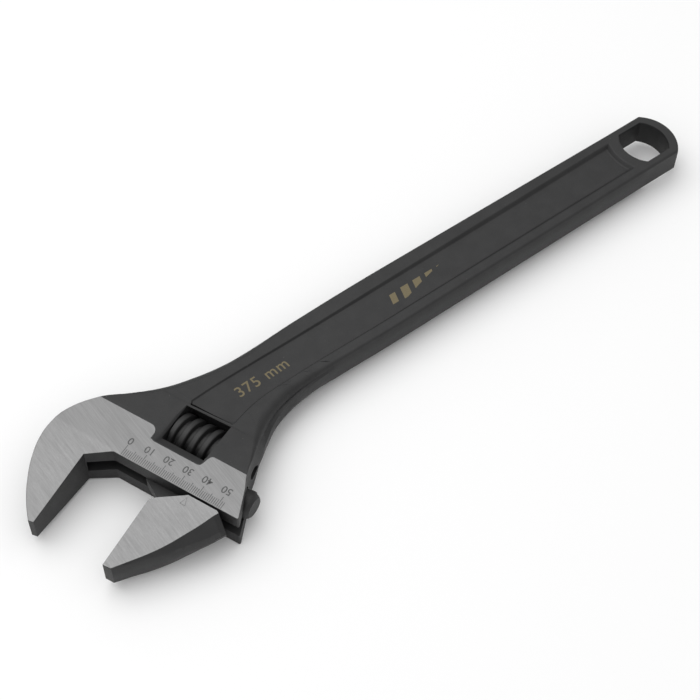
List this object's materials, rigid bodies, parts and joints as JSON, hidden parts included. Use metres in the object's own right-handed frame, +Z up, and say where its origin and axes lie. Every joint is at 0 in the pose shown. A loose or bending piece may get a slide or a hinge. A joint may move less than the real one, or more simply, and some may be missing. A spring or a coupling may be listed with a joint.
{
  "type": "adjustable wrench",
  "caption": "Adjustable wrench with an angled head, a sliding jaw driven by a thumb worm, a millimetre scale on the head and a hang hole in the handle.",
  "frame": {"origin": "middle of the bounding box, on the surface the wrench lies flat on", "axes": "+X along the handle towards the hang hole, +Y across the head away from the moving jaw's side, +Z up through the face with the scale"},
  "size_m": [0.3776, 0.0914, 0.0231],
  "materials": {
    "phosphate_black": "matt black phosphate on a forging, with ground bright faces on the head",
    "ground_steel": "surface-ground flat faces, dark sides",
    "worm_black": "black oxide",
    "pin_steel": "dark oiled steel",
    "spring_steel": "bright spring wire"
  },
  "bodies": {
    "body": {"body": "phosphate_black", "worm_pin": "pin_steel", "worm_spring": "spring_steel"},
    "jaw": {"moving_jaw": "ground_steel"},
    "worm": {"worm": "worm_black"}
  },
  "joints": [
    {"name": "jaw_slide", "type": "slide", "parent": "body", "child": "jaw", "axis": [0.3746, -0.9272, 0], "range_m": [-0.0365, 0.013]},
    {"name": "worm_spin", "type": "hinge", "parent": "body", "child": "worm", "pos_m": [-0.10658, 0.00226, 0.01155], "axis": [0.3746, -0.9272, 0], "range_deg": [-2400, 860]}
  ],
  "couplings": [
    {"joint": "worm_spin", "follows": "jaw_slide", "rad_per_m": 1142.4}
  ]
}
